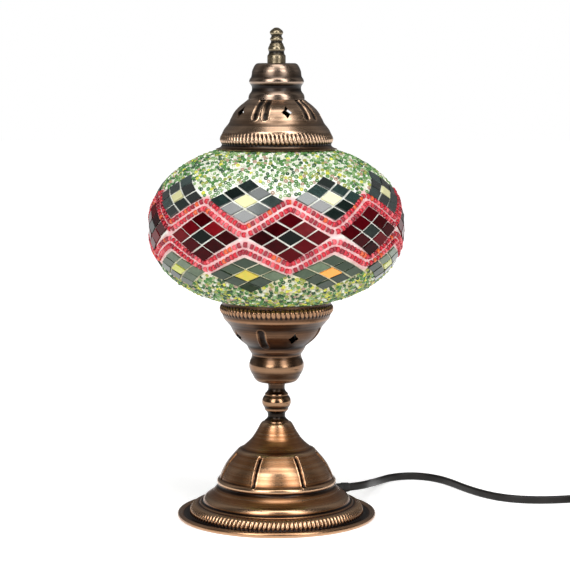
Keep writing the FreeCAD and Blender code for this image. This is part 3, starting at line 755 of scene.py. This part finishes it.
STEM_LINE = ([(9.0, BASE_TOP), (8.6, 68.6), (7.2, 69.7), (6.4, 70.7), (6.2, 71.6), (6.2, 73.8), (6.9, 75.0),
              (8.1, 75.9), (8.5, 76.8), (8.5, 77.9)]
             + arc(4.9, 82.2, 5.5, -47, 47, 6)
             + [(8.3, 86.8), (8.4, 87.8), (7.3, 88.8), (6.4, 89.8), (5.9, 91.2), (5.9, 93.6),
                (6.6, CUP_FLOOR)])

CUP_LINE = [(17.5, GALLERY_FLOOR), (17.7, 114.2), (18.2, 112.8), (18.8, 111.4), (19.4, 109.8), (19.5, 108.4),
            (19.5, 107.3), (19.2, 105.9), (18.6, 104.4), (17.8, 102.9), (17.1, 101.7), (16.4, 100.4),
            (15.9, 99.2), (15.1, 98.0), (14.1, 97.1), (12.6, 96.4), (9.6, CUP_FLOOR), (ROD_HOLE_R, CUP_FLOOR)]

GALLERY_LINE = ([(38.5, GALLERY_RIM), (38.5, 152.6)]
                + arc(36.3, 148.7, 3.65, 48, -48, 6)
                + [(38.0, 144.2), (37.6, 142.4), (37.2, 141.5), (36.0, 140.4), (34.7, 138.9), (33.4, 137.5),
                   (32.4, 136.2), (31.8, 134.9), (31.1, 133.3), (30.0, 131.3), (28.6, 129.4), (27.2, 127.9),
                   (25.6, 126.4), (23.9, 125.0), (22.3, 123.8), (21.1, 122.8), (20.5, 121.6), (20.0, 120.3),
                   (19.1, 118.7), (18.0, 117.4), (17.5, 116.5), (17.5, GALLERY_FLOOR),
                   (ROD_HOLE_R, GALLERY_FLOOR)])

BELL_LINE = ([(STUD_HOLE_R, BELL_TOP), (19.9, BELL_TOP), (21.0, 294.2), (22.9, 292.7), (24.8, 291.3),
              (26.4, 289.8), (27.9, 288.3), (29.1, 286.8), (30.1, 285.3), (30.9, 283.8), (31.6, 282.3),
              (32.4, 280.8), (33.0, 279.4), (33.8, 278.1), (35.0, 276.8), (36.2, 275.2), (37.4, 273.4)]
             + arc(34.6, 267.6, 4.7, 42, -40, 5)
             + [(38.3, 263.6), (38.8, 262.6), (40.3, 261.7), (42.4, BELL_RIM)])

CROWN_LINE = [(STUD_HOLE_R, CROWN_TOP), (13.4, CROWN_TOP), (14.8, 319.5), (15.8, 317.9), (16.5, 316.3),
              (17.1, 314.8), (17.3, 312.8), (17.5, 311.2), (18.2, 310.1), (18.8, 309.2), (19.1, 308.1),
              (19.1, 307.3), (18.7, 306.4), (18.1, 305.6), (17.4, 304.7), (17.1, 303.6), (17.1, 302.3),
              (17.4, 301.1), (18.1, 300.0), (19.0, 298.9), (19.4, 297.8), (19.6, 296.4), (19.6, BELL_TOP)]

FINIAL_LINE = ([(6.4, CROWN_TOP), (6.4, 325.6), (5.7, 326.4), (5.4, 327.2)]
               + arc(2.9, 330.2, 3.0, -38, 42, 4)
               + [(4.6, 333.8), (3.9, 334.7), (3.9, 335.6)]
               + arc(3.5, 337.0, 1.1, -50, 50, 3)
               + [(3.6, 338.7), (3.6, 339.5)]
               + arc(2.7, 341.5, 2.0, -48, 60, 5)
               + [(2.6, 344.1), (1.4, 344.9), (0.3, 345.0)])


def base_relief(angle, r, z):
    """Seven narrow flutes on the dome, the ring of ridges round the foot, and painted shade on the outer rim.
    """
    if 20 < z < 50 and r < 42:
        centres = [-23.5 + 360 / 7 * k for k in range(7)]
        return flute(angle, r, z, centres, 1.5, 28.6, 46.0, 0.9, 1.15)
    if z < 10 and 54.6 < r < 62:
        return ridges(angle, 9.8 - z, 120, 0.0, 7.6, 0.8, 0.25)
    # painted shade: the outer rim is made darker
    return 0.0, 0.25 if r > 64 else 0.0


def gallery_relief(angle, r, z):
    if z > 143:
        return ridges(angle, z, 72, 144.4, 152.6, 0.8, 0.3)
    return flute(angle, r, z, [-20 + 90 * k for k in range(4)], 2.6, 124.6, 134.6, 0.9, 1.3)


def bell_relief(angle, r, z):
    if z < 263.4:
        return 0.0, -0.35
    if z < 274:
        return ridges(angle, z, 80, 263.6, 272.8, 0.85, 0.55)
    centres = [-22 + side + 72 * k for k in range(5) for side in (-7, 7)]
    return flute(angle, r, z, centres, 2.2, 283.0, 296.0, 0.6, 1.2)


def spun(name, line, mat, body, slot, node, **shape):
    return place_piece(name, spun_mesh(name, line, **shape), [mat], body, 50, [node])


def metal():
    spun("base_dome", BASE_LINE, COPPER, "lamp", "antique_copper", "base_shell",
         relief=base_relief, dense=[(-1, 10.0, 960), (21, 46, 720)], segments=288)
    spun("stem_baluster", STEM_LINE[::-1], STEM_BRONZE, "lamp", "dark_bronze", "stem",
         segments=160, step=0.6, rounding=0.35, solid=True)
    spun("cup_bulge", CUP_LINE, STEM_BRONZE, "lamp", "dark_bronze", "socket_cup", step=0.8, rounding=0.6)
    bowl = spun("gallery", GALLERY_LINE, GALLERY_COPPER, "lamp", "antique_copper", "gallery_bowl",
                relief=gallery_relief, dense=[(143.6, 154, 720), (118, 143.6, 480)], step=0.7)
    bell = spun("bell", BELL_LINE, CAP_COPPER, "cap", "antique_copper", "cap_bell",
                relief=bell_relief, dense=[(260, 274, 800), (274, 296, 480)], step=0.7)
    pierce(bowl, 130.2, 28.5, 4.2, 4.4, 4, 24)
    pierce(bell, 286.6, 29.2, 3.9, 4.4, 5, 14)
    spun("crown", CROWN_LINE, BRONZE, "cap", "dark_bronze", "crown_cup", step=0.6)
    spun("finial_turned", FINIAL_LINE[::-1], OLD_BRASS, "cap", "dark_bronze", "finial",
         segments=128, step=0.4, rounding=0.25, solid=True)


# ---- globe ----
def globe_radius(z, depth=0.0):
    """Radius of the globe at a height, depth under the mosaic's face."""
    height, power = GLOBE_UP if z > GLOBE_Z else GLOBE_DOWN
    part = min(abs(z - GLOBE_Z) / (height - depth), 1.0)
    return (GLOBE_R - depth) * (1 - part ** power) ** (1 / power)


def globe_height(r, depth, upper):
    """Height of the upper or the lower half at a radius."""
    height, power = GLOBE_UP if upper else GLOBE_DOWN
    part = (1 - (r / (GLOBE_R - depth)) ** power) ** (1 / power)
    return GLOBE_Z + (height - depth) * part * (1 if upper else -1)


def on_globe(angle, z, depth=0.0):
    """Point, outward normal, eastward and upward directions at an angle from the front and a height."""
    r = globe_radius(z, depth)
    slope = (globe_radius(z + 0.2, depth) - globe_radius(z - 0.2, depth)) / 0.4
    out, east = compass(angle - 90)
    normal = (out - UP * slope).normalized()
    return out * r + UP * z, normal, east, normal.cross(east)


def drift(angle):
    """How high the pattern was laid at an angle."""
    turn = ((angle - RED_ANGLE) / PITCH) % REPEATS
    k = int(turn)
    return DRIFT[k] + (DRIFT[(k + 1) % REPEATS] - DRIFT[k]) * (turn - k)


def wave(angle, band):
    """Height of the middle of a bead band: a wave with rounded turns at the red and the green diamonds."""
    at_red, at_green = band
    sharp = 0.955
    swing = math.asin(sharp * math.cos(2 * math.pi * (angle - RED_ANGLE) / PITCH)) / math.asin(sharp)
    return (at_red + at_green) / 2 + (at_red - at_green) / 2 * swing + drift(angle)


def reach_in_diamond(angle, z, diamond):
    """How far from the middle of the nearest diamond of a row: 1 is on its outline."""
    first, height, half_angle, half_height = diamond
    k = round((angle - first) / PITCH)
    place = first + k * PITCH
    return abs(turn_from(angle, place)) / half_angle + abs(z - height - drift(place)) / half_height


def tile_corners(node):
    """Outer face of each flat tile of a CAD node: its corners in mm, in order, and its normal."""
    work = opened(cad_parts[node].data)
    bmesh.ops.remove_doubles(work, verts=work.verts, dist=1e-6)
    work.faces.index_update()
    tiles, seen = [], set()
    for start in work.verts:
        if start.index in seen:
            continue
        island, queue = [], [start]
        seen.add(start.index)
        while queue:
            vert = queue.pop()
            island.append(vert)
            for edge in vert.link_edges:
                other = edge.other_vert(vert)
                if other.index not in seen:
                    seen.add(other.index)
                    queue.append(other)
        middle = sum((v.co for v in island), Vector()) / len(island)
        away = (middle - Vector((0, 0, GLOBE_Z * MM))).normalized()
        faces = sorted({f for v in island for f in v.link_faces}, key=lambda f: f.index)
        normal = max((f.normal for f in faces), key=lambda n: n.dot(away)).copy()
        outer = [v.co / MM for v in island if (v.co - middle).dot(normal) > 0]
        centre = sum(outer, Vector()) / len(outer)
        side = (outer[0] - centre).normalized()
        up = normal.cross(side)
        outer.sort(key=lambda c: math.atan2((c - centre).dot(up), (c - centre).dot(side)))
        tiles.append((outer, normal))
    work.free()
    tiles.sort(key=lambda t: (round(t[0][0].x, 3), round(t[0][0].y, 3), round(t[0][0].z, 3)))
    return tiles


def cut_tiles(name, node, mat, slot):
    """Hand-cut tiles: each a little off true, tilted, with a rounded edge and its own shade."""
    points, faces, shades = [], [], []
    thickness, edge, sunk = 1.55, 0.28, 0.12
    for corners, normal in tile_corners(node):
        centre = sum(corners, Vector()) / 4
        tilt = Vector([random.gauss(0, 0.030) for _ in range(3)])
        face_normal = (normal + tilt).normalized()
        shade = random.random()
        if mat is AMBER_TILE:
            shade = -0.4 if centre.x > 20 and centre.y < -50 else 0.5 + 0.5 * shade     # one is orange
        ring = []
        for corner in corners:
            inward = (centre - corner).normalized()
            slide = normal.cross(inward) * random.uniform(-0.25, 0.25)
            moved = corner + inward * random.uniform(-0.05, 0.25) + slide
            ring.append(moved - face_normal * (moved - centre).dot(face_normal))
        ring = [c - normal * sunk for c in ring]
        first = len(points)
        for inset_by, drop in ((0.0, thickness), (0.0, edge), (edge * 0.3, edge * 0.3), (edge, 0.0)):
            for corner in ring:
                points.append(corner + (centre - corner).normalized() * inset_by * 1.3 - face_normal * drop)
                shades.append(shade)
        for level in range(3):
            a, b = first + 4 * level, first + 4 * level + 4
            faces += [(a + i, a + (i + 1) % 4, b + (i + 1) % 4, b + i) for i in range(4)]
        faces.append((first + 12, first + 13, first + 14, first + 15))
        faces.append((first + 3, first + 2, first + 1, first))
    mesh = mesh_of(name, points, faces, shade=shades)
    return place_piece(name, mesh, [mat], "globe", 12, [node])


def bead_shape(across, along):
    """Points and faces of a seed bead: a ring of oval section round its own z axis, 1 across outside."""
    ring_r, tube_r, tube_h = 0.5 - 0.125, 0.125, 0.31
    points = [((ring_r + tube_r * math.cos(b)) * math.cos(a), (ring_r + tube_r * math.cos(b)) * math.sin(a),
               tube_h * math.sin(b))
              for a in (2 * math.pi * i / across for i in range(across))
              for b in (2 * math.pi * j / along for j in range(along))]
    faces = [(i * along + j, (i + 1) % across * along + j, (i + 1) % across * along + (j + 1) % along,
              i * along + (j + 1) % along) for i in range(across) for j in range(along)]
    return [Vector(p) for p in points], faces


BEAD_POINTS, BEAD_FACES = bead_shape(12, 6)


def bead_piece(name, beads, mats, replaced=()):
    """One piece of many beads; a bead is (centre, axis, size, stretch along the axis, which material)."""
    points, faces, which = [], [], []
    for centre, axis, size, stretch, kind in beads:
        turn = axis.to_track_quat("Z", "X").to_matrix()
        first = len(points)
        for p in BEAD_POINTS:
            points.append(centre + turn @ Vector((p.x * size, p.y * size, p.z * size * stretch)))
        faces += [tuple(first + i for i in face) for face in BEAD_FACES]
        which += [kind] * len(BEAD_FACES)
    mesh = mesh_of(name, points, faces)
    mesh.polygons.foreach_set("material_index", which)
    return place_piece(name, mesh, mats, "globe", 180, replaced)


RED_BEADS = [bead_glass("bead_red", 0.46, 0.008, 0.022), bead_glass("bead_crimson", 0.25, 0.005, 0.018),
             bead_glass("bead_rose", 0.66, 0.090, 0.110), bead_glass("bead_orange", 0.60, 0.085, 0.022)]
RED_SHARES = (48, 27, 18, 7)
SEED_BEADS = [bead_glass("bead_leaf", 0.060, 0.20, 0.040), bead_glass("bead_pale_green", 0.24, 0.38, 0.15),
              bead_glass("bead_clear", 0.66, 0.68, 0.56), bead_glass("bead_dark_green", 0.020, 0.080, 0.025),
              bead_glass("bead_olive", 0.30, 0.34, 0.060), bead_glass("bead_rosy", 0.42, 0.28, 0.20),
              bead_glass("bead_yellow", 0.60, 0.60, 0.070), bead_glass("bead_moss", 0.11, 0.25, 0.07)]
TOP_SHARES = (23, 20, 20, 10, 10, 6, 3, 14)
BOTTOM_SHARES = (15, 9, 11, 24, 22, 5, 10, 8)


def beads_of_band(band):
    """Two rows of beads strung end to end along a band's wave."""
    beads = []
    for row in (-1, 1):
        angle, end = RED_ANGLE, RED_ANGLE + 360.0
        while angle < end:
            step = 0.25
            z = wave(angle, band)
            here_r = math.radians(1) * globe_radius(z)
            climb = (wave(angle + step, band) - wave(angle - step, band)) / (2 * step * here_r)
            lean = math.atan(climb)
            off_angle = angle - row * BAND_ROWS * math.sin(lean) / here_r
            place, normal, east, up = on_globe(off_angle, z + row * BAND_ROWS * math.cos(lean), 0.85)
            along = (east * math.cos(lean) + up * math.sin(lean)).normalized()
            size = random.uniform(3.5, 4.0)
            length = random.uniform(2.5, 3.2)
            lift, swing = random.uniform(-0.12, 0.12), random.uniform(-0.1, 0.1)
            axis = (along + normal * lift + up * swing).normalized()
            kind = random.choices(range(len(RED_BEADS)), RED_SHARES)[0]
            beads.append((place - normal * 0.15, axis, size, length / (0.62 * size), kind))
            angle += (length + random.uniform(0.30, 0.60)) * math.cos(lean) / here_r
    return beads


def seed_field(upper, shares):
    """Seed beads scattered as close as they go between the bands, the diamonds and the metal."""
    diamond = UPPER_DIAMOND if upper else LOWER_DIAMOND
    band = UPPER_BAND if upper else LOWER_BAND
    rim = globe_height(43.3 if upper else 39.6, 0, upper)
    span = (band[1] - 2, rim) if upper else (rim, band[1] + 2)
    beads, cells = [], {}
    cell = SEED_SIZE[1]
    for _ in range(SEED_TRIES):
        z = random.uniform(*span)
        steep = 1 / max(on_globe(0, z)[1].dot(Vector((0, -1, 0))), 0.2)
        if random.random() > globe_radius(z) * steep / (GLOBE_R * 1.6):
            continue
        angle = random.uniform(0, 360)
        size = random.uniform(*SEED_SIZE)
        beyond = (z - wave(angle, band)) * (1 if upper else -1)
        if beyond < (BAND_ROWS + 1.7 + size / 2) * 1.107 or reach_in_diamond(angle, z, diamond) < 1.09:
            continue
        place, normal, east, up = on_globe(angle, z, 0.8)
        key = tuple(int(c // cell) for c in place)
        near = [b for dx in (-1, 0, 1) for dy in (-1, 0, 1) for dz in (-1, 0, 1)
                for b in cells.get((key[0] + dx, key[1] + dy, key[2] + dz), ())]
        if any((b[0] - place).length < (b[2] + size) * 0.45 for b in near):
            continue
        flat = random.random() < 0.9
        tilt = east * random.gauss(0, 0.18) + up * random.gauss(0, 0.18)
        on_edge = east * math.cos(angle * 7) + up * math.sin(z * 5)
        axis = (normal + tilt if flat else on_edge).normalized()
        kind = random.choices(range(len(shares)), shares)[0]
        bead = (place, axis, size, 1.0, kind)
        beads.append(bead)
        cells.setdefault(key, []).append(bead)
    return beads


def near_seam(angle, z):
    """How pink the grout is at a place: pinker close to the bands of red beads."""
    gap = min(abs(z - wave(angle, UPPER_BAND)), abs(z - wave(angle, LOWER_BAND)))
    return clamp((7.6 - gap) / 2.6)


def grout():
    """The bed of grout that shows between tiles and beads, uneven where it was wiped."""
    z_top, z_low = globe_height(38.6, 0, True) - 0.9, globe_height(38.3, 0, False) + 0.6
    columns, rows = 420, 150
    points, faces, blush, cream = [], [], [], []
    for depth_side in (0, 1):
        for i in range(rows + 1):
            z = (z_top + z_low) / 2 + (z_top - z_low) / 2 * math.cos(math.pi * i / rows)
            for k in range(columns):
                angle = 360.0 * k / columns
                depth = 2.5 if depth_side else 0.95
                if not depth_side:
                    place = on_globe(angle, z)[0]
                    depth += 0.16 * noise.noise(place * 0.55) + 0.10 * noise.noise(place * 1.7)
                points.append(on_globe(angle, z, depth)[0])
                blush.append(near_seam(angle, z))
                # darker and yellower towards the bottom
                cream.append(clamp((200.0 - z) / 16.0))
    sheet = (rows + 1) * columns
    for i in range(rows + 1):
        for k in range(columns):
            a, b = i * columns + k, i * columns + (k + 1) % columns
            if i < rows:
                faces.append((a, a + columns, b + columns, b))
                faces.append((sheet + a, sheet + b, sheet + b + columns, sheet + a + columns))
            if i == 0:
                faces.append((a, b, sheet + b, sheet + a))
            if i == rows:
                faces.append((sheet + a, sheet + b, b, a))
    mesh = mesh_of("grout", points, faces, blush=blush, cream=cream)
    place_piece("grout", mesh, [GROUT_WHITE], "globe", 60, ["grout_bed"])


def globe():
    grout()
    for piece in (
            ("red_tiles", "tiles_red", RED_TILE, "glass_red"),
            ("dark_centres", "centre_tiles_dark", DARK_TILE, "glass_dark_green"),
            ("upper_green_tiles", "tiles_green_upper", GREEN_TILE, "glass_dark_green"),
            ("cream_centres", "centre_tiles_cream", CREAM_TILE, "glass_cream"),
            ("lower_green_tiles", "tiles_green_lower", GREY_TILE, "glass_grey_green"),
            ("amber_centres", "centre_tiles_amber", AMBER_TILE, "glass_amber")):
        cut_tiles(*piece)
    for end, band in (("upper", UPPER_BAND), ("lower", LOWER_BAND)):
        bead_piece("red_beads_" + end, beads_of_band(band), RED_BEADS, ["bead_band_" + end])
    for end, shares in (("top", TOP_SHARES), ("bottom", BOTTOM_SHARES)):
        beads = seed_field(end == "top", shares)
        half = len(beads) // 2
        beads.sort(key=lambda b: (round(b[0].y, 4), round(b[0].x, 4)))
        name, node = "seed_beads_" + end, "bead_field_" + end
        bead_piece(name + "_front", beads[:half], SEED_BEADS, [node])
        bead_piece(name + "_back", beads[half:], SEED_BEADS)


# ---- pieces whose CAD shape stays ----
def dress(mat, *nodes):
    """Gives CAD nodes their finished material."""
    for node in nodes:
        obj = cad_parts[node]
        for material_slot in obj.material_slots:
            material_slot.link = "OBJECT"
            material_slot.material = mat


def kept_nodes():
    dress(IRON, "weight_plate")
    dress(FELT, "felt_pad")
    dress(STEEL, "base_washer", "base_nut", "lamp_tube", "gallery_locknut", "cap_stud", "cap_nut",
          "switch_screws")
    dress(BRASS, "gallery_springs", "terminal_screws", "socket_screw_shell", "socket_centre_contact",
          "cap_spring_legs", "switch_contacts")
    dress(PLASTIC, "socket_base", "socket_sleeve", "bulb_base_insulator")
    dress(PORCELAIN, "socket_insulator")
    dress(ALUMINIUM, "bulb_contact", "bulb_screw_cap")
    dress(CLEAR, "bulb_glass", "bulb_stem")
    dress(TUNGSTEN, "bulb_filament")
    dress(OPAL, "globe_glass")
    dress(RUBBER, "cord_grommet")
    dress(SHEATH, "inner_lead")
    dress(GLOSS_PLASTIC, "switch_rocker")
    dress(NICKEL, "plug_pins")


camera()
studio()
kept_nodes()
metal()
globe()
moulded_pieces = [bevelled("switch_case_bottom", 0.5, PLASTIC),
                  bevelled("switch_case_top", 0.5, PLASTIC),
                  bevelled("plug_body", 0.6, RUBBER)]
cord([coil_tie(), *moulded_pieces, "switch_screws", "switch_rocker", "switch_contacts", "plug_pins"])
